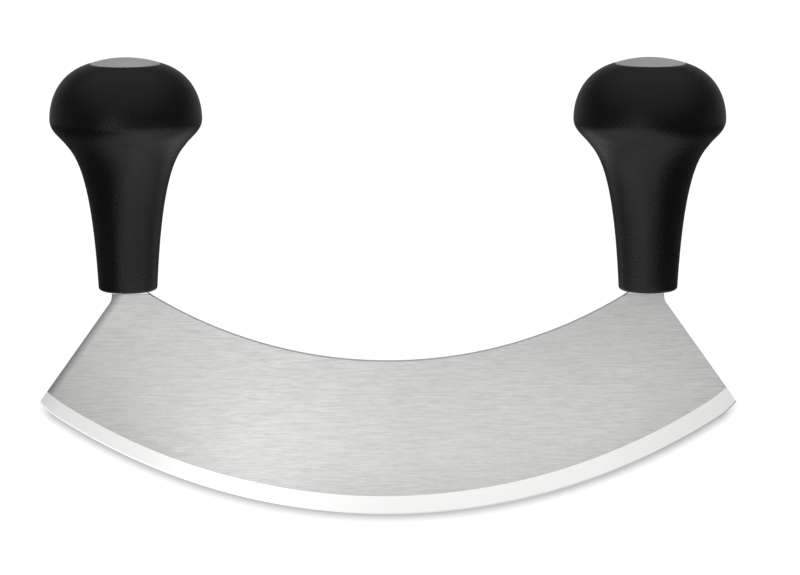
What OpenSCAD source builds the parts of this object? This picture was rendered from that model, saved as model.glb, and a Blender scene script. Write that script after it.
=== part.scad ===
// Mezzaluna: a rocking herb knife with one arc-shaped blade and two upright mushroom handles.
// X runs along the blade, Y through its thickness and Z up.
// The origin is the lowest point of the cutting edge. Lengths are in millimetres.

/* [Blade] */
// Radius of the cutting edge
edge_r = 200; // [185:1:220]
// Depth of the blade from its spine to its cutting edge
blade_depth = 51.8; // [46:0.1:58]
// Angle of each slanted end, from upright, seen from the centre of the arcs
end_angle = 35.45; // [32:0.05:40]
// Thickness of the steel
blade_t = 2.5; // [1.8:0.1:3.2]
// Radius to which the edge sweeps up at each tip
sweep_r = 24; // [16:1:60]
// Length of the edge that sweeps up
sweep_len = 8; // [4:0.5:12]

/* [Grind] */
// Width of the ground bevel on each face
bevel_w = 6.1; // [3:0.1:10]
// Width of the fine honed bevel along the cutting edge
hone_w = 0.5; // [0.3:0.1:1]
// Thickness of the steel where the honed bevel starts
hone_t = 0.5; // [0.3:0.05:0.8]
// Thickness that is left at the cutting edge
edge_t = 0.12; // [0.08:0.02:0.2]

/* [Neck and tang] */
// Width of the neck that rises into each grip
neck_w = 10.6; // [9:0.1:12]
// How far the middle of the neck lies inside the corner of spine and slanted end
neck_inset = 0.35; // [0:0.05:1.5]
// Fillet between the neck and the spine
inner_fillet = 5; // [2:0.1:7]
// Fillet between the neck and the slanted end
outer_fillet = 5.5; // [2:0.1:9]
// Straight length of neck above the inner fillet, up to the shoulders
neck_straight = 0.4; // [0.2:0.1:2]
// Width of the tang inside the handle
tang_w = 8; // [7:0.1:8.8]
// Thickness of the tang, coined thinner than the blade
tang_t = 2; // [1.6:0.1:2.2]
// Length of the tang above the shoulders
tang_len = 26; // [20:0.5:30]
// Depth to which each face of the neck is coined down, so that it enters the grip
coin_depth = 0.1; // [0.05:0.05:0.2]
// How far the coined faces reach below the grip
coin_drop = 0.5; // [0.3:0.1:1]

/* [Soft grip] */
// Height of the grip from its underside to the lip round the end cap
grip_h = 74.6; // [72:0.1:80]
// Diameter of the shank at the bottom
shank_d = 19.4; // [18.4:0.1:21]
// Diameter of the knob at its widest
knob_d = 49.9; // [46:0.1:54]
// Height of the widest part of the knob above the underside
knob_h = 56.6; // [54:0.1:58]
// Rounding of the lower edge
underside_round = 1.2; // [0.5:0.1:2]
// Thickness of the soft grip under the hard core
underside_t = 2.9; // [2:0.1:4]
// Least thickness of the soft grip over the hard core's knob
skin_t = 4; // [3:0.1:5]
// Width of the lip round the end cap
lip_w = 0.5; // [0.3:0.05:1]

/* [Hard core] */
// Diameter of the sleeve in the shank
sleeve_d = 13.8; // [12.6:0.1:14.6]
// Diameter of the hub round the nut well
hub_d = 19.6; // [18.8:0.1:20.4]
// Height of the nut's seat above the underside of the grip
seat_h = 44; // [40:0.5:46]
// Diameter of the well that the nut is tightened through
well_d = 15.2; // [14:0.1:16]
// Thickness of the ribs and rings
rib_t = 2; // [1.6:0.1:3]
// Number of ribs round the hub
rib_count = 6; // [4:1:8]
// Height of the lower ring above the nut's seat
ring_rise = 3; // [1:0.1:4]

/* [End cap] */
// Diameter of the end cap
cap_d = 23; // [22:0.1:24]
// Height of the cap's dome above its rim
cap_rise = 2.1; // [1:0.1:3.5]
// How far the cap's rim lies below the lip of the grip
cap_sink = 0.1; // [0.05:0.05:0.6]
// Thickness of the cap at its rim
cap_rim_t = 1.7; // [1.2:0.1:2.5]
// Diameter of the skirt that snaps into the core
skirt_d = 18.8; // [17.6:0.1:19.4]
// Length of the skirt
skirt_len = 7; // [5:0.1:8]
// Wall of the skirt
skirt_t = 1.5; // [1.2:0.1:2]
// Height of the snap bead round the skirt
bead_h = 0.35; // [0.2:0.05:0.5]
// Width of the slots that let the skirt spring
skirt_slot_w = 1.6; // [1:0.1:2.5]

/* [Fasteners] */
// Diameter of the threaded stud
stud_d = 6; // [5:0.1:6.2]
// Length of the stud's fork over the tang
fork_len = 10; // [8:0.5:14]
// Length of stud that stands out of the nut
stud_end = 1.5; // [0.5:0.1:3]
// Diameter of the flat washer
washer_d = 12; // [11:0.1:13]
// Thickness of the flat washer
washer_t = 1.2; // [0.8:0.1:1.6]
// Diameter of the spring washer
spring_d = 10.4; // [9.6:0.1:10.8]
// Thickness of the spring washer
spring_t = 1.6; // [1.2:0.1:2]
// Width of the nut across its flats
nut_flats = 10; // [9:0.1:10.6]
// Height of the nut
nut_h = 5; // [4:0.1:6]

/* [Clearances] */
// Bond line between the soft grip and the hard core
bond = 0.05; // [0.02:0.01:0.1]
// Clearance round the tang and the neck
tang_clear = 0.1; // [0.05:0.05:0.25]
// Solder line between the stud's fork and the tang
solder = 0.05; // [0.02:0.01:0.1]
// Clearance of the stud in the core
stud_clear = 0.25; // [0.1:0.05:0.4]
// Clearance between the stud and the bores of nut and washers
thread_clear = 0.1; // [0.05:0.05:0.2]
// Clearance round the end cap and its skirt
cap_clear = 0.1; // [0.05:0.05:0.2]

/* [Hidden] */

$fn = 96;
LEFT = -1;
RIGHT = 1;
// Angles between the points that draw the long arcs, the swept tips, the fillets and the tight roundings
arc_step = 1;
sweep_step = 3;
fillet_step = 6;
round_step = 15;
// Points to each curve of the grip's side, of the core's ribs and of the cap's dome
side_points = 14;
rib_points = 5;
dome_points = 10;
// A cut runs this far past the face that it opens
past = 1;

// Blade: the arcs share one centre, which is edge_r above the origin
spine_r = edge_r - blade_depth;
handle_x = spine_r * sin(end_angle) - neck_inset;
neck_in_x = handle_x - neck_w / 2;
neck_out_x = handle_x + neck_w / 2;
inner_c = [neck_in_x - inner_fillet,
           edge_r - sqrt(pow(spine_r - inner_fillet, 2) - pow(neck_in_x - inner_fillet, 2))];
outer_c = [neck_out_x + outer_fillet,
           edge_r + (outer_fillet - (neck_out_x + outer_fillet) * cos(end_angle)) / sin(end_angle)];
inner_fillet_angle = asin(inner_c.x / (spine_r - inner_fillet));
sweep_angle = end_angle - sweep_len / edge_r * 180 / PI;
sweep_c = around([0, edge_r], edge_r - sweep_r, sweep_angle);
tip_angle = end_angle + asin((edge_r - sweep_r) / sweep_r * sin(end_angle - sweep_angle));

// Heights of the handle
shoulder_z = inner_c.y + neck_straight;
grip_z = shoulder_z - underside_t;
lip_z = grip_z + grip_h;
knob_z = grip_z + knob_h;
core_top_z = lip_z - cap_sink - cap_rim_t;
seat_z = grip_z + seat_h;
tang_top_z = shoulder_z + tang_len;
fork_z = tang_top_z - fork_len;
spring_z = seat_z + washer_t;
nut_z = spring_z + spring_t;
stud_top_z = nut_z + nut_h + stud_end;

// The inner fillet still widens the neck a little where it meets the underside of the grip
neck_spread = inner_fillet - sqrt(pow(inner_fillet, 2) - pow(min(inner_fillet, inner_c.y - grip_z), 2));

// Curves of the grip, as radius and height above its underside
shank_lean = 2.9;
shank_pull = 0.83;
flare_angle = 38;
flare_in = 5.1;
flare_drop = 8;
flare_pull = 4.3;
flare_lead = 3.44;
knob_pull = 3.6;
dome_pull = 6.4;
lip_angle = 16.8;
lip_pull = 10.4;
mouth_r = cap_d / 2 + cap_clear;
shank_start = [shank_d / 2, underside_round];
flare_point = [knob_d / 2 - flare_in, knob_h - flare_drop];
knob_point = [knob_d / 2, knob_h];
lip_point = [mouth_r + lip_w, grip_h];
shank_reach = shank_pull * (flare_point.y - shank_start.y);

// Rounding at the rim of the cap, and the slope of the snap bead
cap_round = 0.4;
bead_slope = 2;
bead_up = 1.2;
socket_r = skirt_d / 2 + cap_clear;
skirt_root = 2;
collar_drop = 2;
well_cone = 4;
stud_chamfer = 0.7;
nut_chamfer = 30;
nut_face_in = 0.25;
spring_gap = 1.2;
spring_lean = 20;
cap_roof_t = 2;
tang_chamfer = 1.5;

// Point at a radius and an angle from straight down, seen from a centre
function around(c, r, a) = [c.x + r * sin(a), c.y - r * cos(a)];

// Points of an arc from angle a to angle b, in steps no longer than step
function arc(c, r, a, b, step) =
    let (n = max(1, ceil(abs(b - a) / step)))
    [for (i = [0:n]) around(c, r, a + (b - a) * i / n)];

// A list without its first point, where that repeats the end of the stretch before
function rest(points) = [for (i = [1:len(points) - 1]) points[i]];

// Points of a cubic curve after its first point
function curve(p0, p1, p2, p3, n) =
    [for (i = [1:n]) let (t = i / n)
        p0 * pow(1 - t, 3) + 3 * p1 * t * pow(1 - t, 2) + 3 * p2 * t * t * (1 - t) + p3 * pow(t, 3)];

function along(a, d) = [d * sin(a), d * cos(a)];

// Side of the grip from its shank to its lip: waisted shank, flare, knob and dome, n points to a curve
function grip_side(n) = concat(
    [shank_start],
    curve(shank_start, shank_start + along(shank_lean, shank_reach),
          flare_point - along(flare_angle, flare_pull), flare_point, n),
    curve(flare_point, flare_point + along(flare_angle, flare_lead),
          knob_point - [0, knob_pull], knob_point, n),
    curve(knob_point, knob_point + [0, dome_pull],
          lip_point + [lip_pull * cos(lip_angle), -lip_pull * sin(lip_angle)], lip_point, n));

// One half of the blade's outline, from the lowest point of the edge round to the middle of the spine
function half_outline() = concat(
    arc([0, edge_r], edge_r, 0, sweep_angle, arc_step),
    rest(arc(sweep_c, sweep_r, sweep_angle, tip_angle, sweep_step)),
    arc(outer_c, outer_fillet, end_angle - 90, -90, fillet_step),
    [[neck_out_x, shoulder_z], [neck_in_x, shoulder_z]],
    arc(inner_c, inner_fillet, 90, inner_fillet_angle, fillet_step),
    rest(arc([0, edge_r], spine_r, inner_fillet_angle, 0, arc_step)));

// The other half, without the two points that lie on the middle line
function mirrored(points) = [for (i = [len(points) - 2:-1:1]) [-points[i].x, points[i].y]];

// Stands an outline drawn in X and Z upright as a plate, centred on Y
module plate(t) {
    rotate([90, 0, 0]) linear_extrude(t, center = true) children();
}

module at_handle(side) {
    translate([side * handle_x, 0, 0]) children();
}

module turned(points) {
    rotate_extrude() polygon(points);
}

// Lens-shaped disc round the centre of the arcs: flat faces, the ground bevel and the honed edge.
// It runs a little past the cutting edge, on the slope of the honed bevel, so that the outline cuts it.
module grind() {
    over = hone_w * edge_t / (hone_t - edge_t) / 2;
    face = [[edge_r - bevel_w, blade_t / 2], [edge_r - hone_w, hone_t / 2], [edge_r + over, edge_t / 4]];
    translate([0, 0, edge_r]) rotate([90, 0, 0]) turned(concat(
        [[0, blade_t / 2]],
        face,
        [for (i = [2:-1:0]) [face[i].x, -face[i].y]],
        [[0, -blade_t / 2]]));
}

// Stock that the coining takes off both faces of a neck
module coined_off() {
    face_y = blade_t / 2 - coin_depth;
    for (y = [face_y, -face_y - coin_depth - past])
        translate([-neck_w, y, grip_z - coin_drop])
            cube([2 * neck_w, coin_depth + past, underside_t + coin_drop + past]);
}

// Tang on the neck, thinner and narrower than the neck so that the shoulders stand out
module tang() {
    root_z = shoulder_z - neck_straight;
    plate(tang_t) polygon([
        [-tang_w / 2, root_z], [tang_w / 2, root_z],
        [tang_w / 2, tang_top_z - tang_chamfer], [tang_w / 2 - tang_chamfer, tang_top_z],
        [tang_chamfer - tang_w / 2, tang_top_z], [-tang_w / 2, tang_top_z - tang_chamfer]]);
}

module blade() color("gainsboro") {
    half = half_outline();
    difference() {
        intersection() {
            plate(blade_t + 2 * past) polygon(concat(half, mirrored(half)));
            grind();
        }
        for (side = [LEFT, RIGHT]) at_handle(side) coined_off();
    }
    for (side = [LEFT, RIGHT]) at_handle(side) tang();
}

// Outer form of the hard core: sleeve, hub, two rings and the ribs that the soft grip locks round
module core_form(grow = 0, top_z = core_top_z) {
    knob_side = [for (p = grip_side(rib_points)) [p.x - skin_t + grow, p.y + grip_z]];
    ring_z = seat_z + ring_rise;
    hub_r = hub_d / 2 + grow;
    collar_r = mouth_r - bond + grow;
    collar_z = core_top_z - skirt_len - collar_drop;
    turned([
        [0, shoulder_z - grow], [sleeve_d / 2 + grow, shoulder_z - grow],
        [sleeve_d / 2 + grow, seat_z - 2 * well_cone], [hub_r, seat_z - well_cone],
        [hub_r, collar_z], [collar_r, collar_z + collar_r - hub_r],
        [collar_r, top_z], [0, top_z]]);
    intersection() {
        turned(concat([[0, knob_side[0].y]], knob_side, [[0, lip_z]]));
        union() {
            for (z = [ring_z, knob_z])
                translate([0, 0, z - rib_t / 2 - grow]) cylinder(h = rib_t + 2 * grow, d = 2 * knob_d);
            for (i = [0:rib_count - 1])
                rotate(i * 360 / rib_count)
                    translate([0, -rib_t / 2 - grow, ring_z])
                        cube([knob_d, rib_t + 2 * grow, core_top_z - ring_z]);
        }
    }
}

// Soft black grip, moulded over the core, with a slot for the neck and a mouth for the end cap
module grip() {
    underside = arc([shank_d / 2 - underside_round, underside_round], underside_round, 0, 90, round_step);
    side = [for (p = concat([[0, 0]], underside, rest(grip_side(side_points)), [[0, grip_h]])) [p.x, p.y + grip_z]];
    slot_x = neck_w + 2 * (neck_spread + tang_clear);
    slot_y = blade_t + 2 * (tang_clear - coin_depth);
    difference() {
        turned(side);
        core_form(bond, lip_z + past);
        translate([-slot_x / 2, -slot_y / 2, grip_z - past]) cube([slot_x, slot_y, underside_t + past]);
    }
}

// Groove in the core, or bead on the skirt, of radius r and height out
module snap_ring(r, out) {
    z = core_top_z - skirt_len + bead_up;
    turned([
        [r - out, z], [r, z], [r + out, z + bead_slope * out],
        [r, z + 2 * bead_slope * out], [r - out, z + 2 * bead_slope * out]]);
}

// Hard core with the tang's socket, the stud's bore, the nut's seat and well, and the cap's socket
module core() {
    slot_x = tang_w + 2 * tang_clear;
    slot_y = tang_t + 2 * tang_clear;
    difference() {
        core_form();
        translate([-slot_x / 2, -slot_y / 2, shoulder_z - past])
            cube([slot_x, slot_y, tang_len + 2 * past]);
        translate([0, 0, fork_z - past]) cylinder(h = seat_z - fork_z + 2 * past, d = stud_d + 2 * stud_clear);
        translate([0, 0, seat_z]) cylinder(h = lip_z - seat_z, d = well_d);
        translate([0, 0, core_top_z - skirt_len - cap_clear])
            cylinder(h = skirt_len + past, r = socket_r);
        snap_ring(socket_r, bead_h);
    }
}

// Grey cap: a shallow dome over a rim, with a slotted skirt that snaps into the core
module end_cap() {
    rim_r = cap_d / 2;
    rim_z = core_top_z + cap_rim_t;
    dome_r = (pow(rim_r, 2) + pow(cap_rise, 2)) / (2 * cap_rise);
    dome_c = [0, rim_z + cap_rise - dome_r];
    dome_end = asin((rim_r - cap_round) / dome_r);
    skirt_r = skirt_d / 2;
    skirt_z = core_top_z - skirt_len;
    difference() {
        union() {
            turned(concat(
                [[0, core_top_z]],
                [[rim_r, core_top_z], [rim_r, rim_z - cap_round / 2]],
                [for (a = [dome_end:-dome_end / dome_points:dome_end / dome_points / 2])
                    [dome_c.x + dome_r * sin(a), dome_c.y + dome_r * cos(a)]],
                [[0, rim_z + cap_rise]]));
            translate([0, 0, skirt_z]) cylinder(h = skirt_len + cap_rim_t / 2, r = skirt_r);
            snap_ring(skirt_r, bead_h);
        }
        translate([0, 0, skirt_z - past])
            cylinder(h = skirt_len + cap_rim_t + cap_rise - cap_roof_t + past, r = skirt_r - skirt_t);
        for (a = [0, 90])
            rotate(a)
                translate([-cap_d, -skirt_slot_w / 2, skirt_z - past])
                    cube([2 * cap_d, skirt_slot_w, skirt_len - skirt_root + past]);
    }
}

// Stud, forked over the tang and chamfered at its top
module stud() {
    r = stud_d / 2;
    slot = tang_t + 2 * solder;
    difference() {
        turned([
            [0, fork_z], [r, fork_z], [r, stud_top_z - stud_chamfer],
            [r - stud_chamfer, stud_top_z], [0, stud_top_z]]);
        translate([-stud_d, -slot / 2, fork_z - past])
            cube([2 * stud_d, slot, fork_len + solder + past]);
    }
}

module washer() {
    translate([0, 0, seat_z]) difference() {
        cylinder(h = washer_t, d = washer_d);
        translate([0, 0, -past]) cylinder(h = washer_t + 2 * past, d = stud_d + 2 * thread_clear);
    }
}

// Spring washer drawn flat, cut through at a slant
module spring_washer() {
    translate([0, 0, spring_z]) difference() {
        cylinder(h = spring_t, d = spring_d);
        translate([0, 0, -past]) cylinder(h = spring_t + 2 * past, d = stud_d + 2 * thread_clear);
        translate([0, 0, spring_t / 2]) rotate([spring_lean, 0, 0])
            translate([0, -spring_gap / 2, -spring_t - past]) cube([spring_d, spring_gap, 2 * (spring_t + past)]);
    }
}

// Hex nut with its corners turned off at both ends
module nut() {
    corner_r = nut_flats / 2 / cos(30);
    face_r = nut_flats / 2 - nut_face_in;
    drop = (corner_r + past - face_r) * tan(nut_chamfer);
    translate([0, 0, nut_z]) difference() {
        intersection() {
            cylinder(h = nut_h, r = corner_r, $fn = 6);
            turned([
                [0, 0], [face_r, 0], [corner_r + past, drop],
                [corner_r + past, nut_h - drop], [face_r, nut_h], [0, nut_h]]);
        }
        translate([0, 0, -past]) cylinder(h = nut_h + 2 * past, d = stud_d + 2 * thread_clear);
    }
}

module left_grip() color("#1d1e1f") at_handle(LEFT) grip();
module left_core() color("dimgray") at_handle(LEFT) core();
module left_end_cap() color("#9b9b9b") at_handle(LEFT) end_cap();
module left_stud() color("silver") at_handle(LEFT) stud();
module left_washer() color("silver") at_handle(LEFT) washer();
module left_spring_washer() color("silver") at_handle(LEFT) spring_washer();
module left_nut() color("silver") at_handle(LEFT) nut();
module right_grip() color("#1d1e1f") at_handle(RIGHT) grip();
module right_core() color("dimgray") at_handle(RIGHT) core();
module right_end_cap() color("#9b9b9b") at_handle(RIGHT) end_cap();
module right_stud() color("silver") at_handle(RIGHT) stud();
module right_washer() color("silver") at_handle(RIGHT) washer();
module right_spring_washer() color("silver") at_handle(RIGHT) spring_washer();
module right_nut() color("silver") at_handle(RIGHT) nut();

blade();
left_grip();
left_core();
left_end_cap();
left_stud();
left_washer();
left_spring_washer();
left_nut();
right_grip();
right_core();
right_end_cap();
right_stud();
right_washer();
right_spring_washer();
right_nut();
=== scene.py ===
"""Mezzaluna: the looks of the packed part, laid out as a Blender add-on.

The CAD frame gives every place. This script turns the visible pieces afresh with finer curves,
gives every piece its material, and sets up the pale stage and the camera.
Lengths are metres, and pieces stay at the origin with their place in their mesh.
"""

import math

import bmesh
import bpy
from bpy.props import FloatProperty, FloatVectorProperty, IntProperty, PointerProperty
from bpy.types import Operator, Panel, PropertyGroup
from mathutils import Matrix, Vector
from mathutils.geometry import interpolate_bezier


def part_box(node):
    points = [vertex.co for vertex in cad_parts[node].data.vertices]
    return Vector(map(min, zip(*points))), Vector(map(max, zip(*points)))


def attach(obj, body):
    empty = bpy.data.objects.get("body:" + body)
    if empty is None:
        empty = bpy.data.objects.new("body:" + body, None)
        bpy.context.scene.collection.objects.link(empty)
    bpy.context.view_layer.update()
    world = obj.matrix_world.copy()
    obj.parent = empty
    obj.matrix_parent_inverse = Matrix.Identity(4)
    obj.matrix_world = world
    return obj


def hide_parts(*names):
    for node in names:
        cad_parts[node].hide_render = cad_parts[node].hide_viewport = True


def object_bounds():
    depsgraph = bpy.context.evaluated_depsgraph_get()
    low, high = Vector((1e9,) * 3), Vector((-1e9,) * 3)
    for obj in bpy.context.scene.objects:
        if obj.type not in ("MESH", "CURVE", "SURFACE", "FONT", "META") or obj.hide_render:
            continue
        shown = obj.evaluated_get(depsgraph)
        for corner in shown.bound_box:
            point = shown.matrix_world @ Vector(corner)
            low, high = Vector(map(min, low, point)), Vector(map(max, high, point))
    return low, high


bl_info = {
    "name": "Mezzaluna",
    "version": (1, 0, 0),
    "blender": (4, 5, 0),
    "location": "View3D > Sidebar > Mezzaluna",
    "description": "Rocking herb knife with an arc-shaped blade and two mushroom grips",
    "category": "Add Mesh",
}

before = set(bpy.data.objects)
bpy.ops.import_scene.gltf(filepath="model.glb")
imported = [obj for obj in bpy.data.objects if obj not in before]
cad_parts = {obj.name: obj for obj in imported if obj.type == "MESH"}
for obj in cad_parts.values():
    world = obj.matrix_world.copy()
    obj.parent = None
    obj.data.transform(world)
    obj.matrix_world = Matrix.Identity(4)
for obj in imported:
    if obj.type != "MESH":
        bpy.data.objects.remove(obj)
CAD_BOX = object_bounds()

MM = 0.001
SIDES = ("left", "right")

# Places that the frame gives
GRIP_LOW, GRIP_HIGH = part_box("left_grip")
CORE_LOW, CORE_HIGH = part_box("left_core")
CAP_LOW, CAP_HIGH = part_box("left_end_cap")
BLADE_LOW, BLADE_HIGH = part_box("blade")
SEAT_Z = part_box("left_washer")[0].z
UNDERSIDE_Z = GRIP_LOW.z
LIP_Z = GRIP_HIGH.z
SHOULDER_Z = CORE_LOW.z
CORE_TOP_Z = CORE_HIGH.z

# Curves of the grip's side, as in the CAD source
SHANK_LEAN, SHANK_PULL = math.radians(2.9), 0.83
FLARE_ANGLE, FLARE_IN, FLARE_DROP = math.radians(38), 5.1 * MM, 8 * MM
FLARE_PULL, FLARE_LEAD, KNOB_PULL = 4.3 * MM, 3.44 * MM, 3.6 * MM
DOME_PULL, LIP_ANGLE, LIP_PULL = 6.4 * MM, math.radians(16.8), 10.4 * MM
SIDE_STEPS = 28
LOWER_EDGE_TURNS = [math.radians(degrees) for degrees in range(0, 90, 15)]

# Inside of the grip, as in the CAD source. BOND is what stands for the moulded bond to the core.
BOND = 0.05 * MM
MOUTH_PLAY = 0.1 * MM
SLEEVE_RADIUS, HUB_RADIUS = 6.9 * MM, 9.8 * MM
WELL_CONE, COLLAR_DROP, RING_RISE = 4 * MM, 2 * MM, 3 * MM
RIB_COUNT, RIB_THICKNESS, RIB_ROOT, RIB_STOP = 6, 2 * MM, 1 * MM, 0.3 * MM
CUT_MARGIN = 1 * MM

# End cap. Its rim lies at CAP_RIM_RISE above the core, with a small corner of two facets.
CAP_RIM_RISE, CAP_ROUNDING = 1.95 * MM, 0.4 * MM
CAP_CORNER_IN, CAP_CORNER_UP = 0.12 * MM, 0.05 * MM
CAP_ROOF, DOME_STEPS = 2 * MM, 24
SKIRT_RADIUS, SKIRT_WALL = 9.4 * MM, 1.5 * MM
BEAD, BEAD_RISE = 0.35 * MM, 1.2 * MM
SLOT_COUNT, SLOT_HALF_WIDTH, SLOT_TOP_DROP = 4, 0.8 * MM, 2 * MM

# Mesh work: how close counts as one point, what counts as facing up, the steps of the fillets, and
# the least angle and share of the plate's thickness at which an edge is deburred
MERGE, WELD, NEAR = 0.001 * MM, 0.002 * MM, 0.01 * MM
FACING_UP = 0.99
OUTER_FILLET_STEPS, INNER_FILLET_STEPS = 10, 12
ARRIS_ANGLE, ARRIS_LEAST_THICKNESS = math.radians(60), 0.7

# Sockets of Blender's Mix node, whose names repeat
NUMBER_A, NUMBER_B, NUMBER_OUT = 2, 3, 0
COLOUR_A, COLOUR_B, COLOUR_OUT = 6, 7, 2

# Look of the steel. The grind is where the plate is thinner by GRIND_START to GRIND_FULL, within
# GRIND_REACH bevel widths of the edge. Belt marks are about 0.1 mm wide on the real plate. They
# are drawn 0.3 mm wide, one pixel of the render, so that they show. Long ones lie among short ones.
# The honed bevel has a painted highlight towards its left end that fades to painted shade towards
# its right end, between the X places below. The brushed face has a painted shade along its left
# border, of the width below.
GRIND_REACH, GRIND_START, GRIND_FULL = 1.3, 0.004 * MM, 0.012 * MM
COIN_SHINE = 0.6
SHORT_MARK = (3 * MM, 3 * MM, 0.3 * MM)
LONG_MARK = (12 * MM, 12 * MM, 0.4 * MM)
LONG_SHARE, MARK_LOW, MARK_HIGH = 0.45, 0.3, 0.7
MARK_STRENGTH, MARK_DEPTH = 0.25, 0.01 * MM
STREAK_ROUGHNESS, BRUSHED_ROUGHNESS, GROUND_ROUGHNESS = 0.44, 0.34, 0.26
SHEARED_ROUGHNESS, HONED_ROUGHNESS = 0.75, 0.15
HONE_HIGHLIGHT_X, HONE_SHADE_X = -85 * MM, 90 * MM
BORDER_SHADE_WIDTH = 2.6 * MM

# Look of the moulded and turned pieces
GRAIN_CHANGE, TINT_CHANGE, CLOUD_SIZE = 0.08, 0.15, 14 * MM
TOOL_MARK = (6 * MM, 6 * MM, 0.25 * MM)
ZINC_DARK, ZINC_PALE = "#b4b8bc", "#cdd0d3"
ZINC_SMOOTH, ZINC_ROUGH, TOOL_MARK_STRENGTH = 0.28, 0.4, 0.4

# WHITE is just over the level that the picture shows as white
WHITE = 1.05

# Painted light that the glowing table sends up, as levels by metres across and away from the blade.
# The first pool is the table round the blade, brightest before its front face. The far pool lies
# behind, where the steel near the spine looks. The tip pool is the close strip that the left part
# of the bevel sees.
TABLE_PEAK = 1.5
TABLE_LEAST = 0.09
TABLE_ACROSS = ((-0.6, 0.03), (-0.3, 0.03), (-0.16, 0.03), (-0.13, 0.12), (-0.113, 0.64),
                (-0.08, 0.87), (-0.05, 1.3), (-0.02, 1.06), (0, 0.98), (0.07, 0.93),
                (0.12, 0.76), (0.135, 0.4), (0.17, 0.05), (0.3, 0.03))
TABLE_AWAY = ((-1.5, 0.02), (-0.8, 0.03), (-0.5, 0.2), (-0.36, 0.9), (-0.22, 1.05),
              (-0.12, 1.12), (-0.05, 1.1), (-0.02, 0.82), (0, 0.8), (0.03, 0.1), (0.05, 0.5),
              (0.14, 0.5), (0.24, 0.03), (1.5, 0.02))
FAR_ACROSS = ((-0.6, 0), (-0.1, 0), (-0.065, 1.2), (-0.035, 1.2), (0, 0), (0.6, 0))
FAR_AWAY = ((-1.5, 0), (-0.6, 0), (-0.45, 1), (-0.3, 1), (-0.22, 0), (1.5, 0))
TIP_ACROSS = ((-0.6, 0), (-0.13, 0), (-0.11, 0.11), (-0.07, 0.075), (-0.03, 0), (0.6, 0))
TIP_AWAY = ((-1.5, 0), (-0.035, 0), (-0.02, 1), (0.01, 1), (0.02, 0), (1.5, 0))
POOLS = ((TABLE_ACROSS, TABLE_AWAY), (FAR_ACROSS, FAR_AWAY), (TIP_ACROSS, TIP_AWAY))

# Light of the sky, as levels by height from below to overhead, leaning towards the camera
SKY = ((-1, 0.2), (-0.3, 0.27), (0, 0.22), (0.2, 0.15), (0.34, 0.14), (0.55, 0.4), (0.8, 0.85),
       (1, 0.95))
SKY_LEAN = math.radians(20)

# Painted shade on the sheet: how far it reaches, where it starts, its darkest level, and how it
# ends
SHADE_REACH, SHADE_START, SHADE_DARKEST = 14 * MM, 0.5, 0.53
SHADE_END_IN, SHADE_END_OUT = 4 * MM, 1.5 * MM

# Stage: the bent sheet, the table under it, the lamps with their place, size and watts
SHEET_HALF_TURN, SHEET_STEPS, SHEET_DEPTH = math.radians(42), 84, 0.6
TABLE_HALF_SIZE, TABLE_DROP = 0.62, 0.5 * MM
LAMP_AIM = (0, 0, 0.07)
LAMPS = {
    "front_softbox": ((-0.42, -1.3, 0.14), 0.4, 1.2),
    "low_softbox": ((-0.19, -0.27, 0.05), 0.07, 0.05),
}

# Camera, fitted to the arcs, the ends and the upright grips. Its lens is in millimetres.
CAMERA_LENS, CAMERA_SENSOR, CAMERA_DISTANCE = 158.9, 36, 1.163
CAMERA_ELEVATION, CAMERA_ROLL = math.radians(9.3), math.radians(-0.04)
CAMERA_TARGET = (3.95 * MM, 0, 76.37 * MM)


def handle_x(side):
    """Place of a handle's axis along X."""
    low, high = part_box(f"{side}_grip")
    return (low.x + high.x) / 2


def linear(colour):
    """An sRGB hex colour as linear red, green and blue."""
    channels = [int(colour[i:i + 2], 16) / 255 for i in (1, 3, 5)]
    return tuple(c / 12.92 if c <= 0.04045 else ((c + 0.055) / 1.055) ** 2.4 for c in channels)


def length(name, description, default, low, high):
    """A length setting in metres."""
    return FloatProperty(name=name, description=description, default=default, min=low, max=high,
                         subtype="DISTANCE", unit="LENGTH", precision=5)


def angle(name, description, degrees, low, high):
    """An angle setting, given here in degrees."""
    return FloatProperty(name=name, description=description, default=math.radians(degrees),
                         min=math.radians(low), max=math.radians(high),
                         subtype="ANGLE", unit="ROTATION")


def colour(name, description, default):
    """A colour setting, given here as sRGB hex."""
    return FloatVectorProperty(name=name, description=description, default=linear(default),
                               min=0, max=1, size=3, subtype="COLOR")


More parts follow.
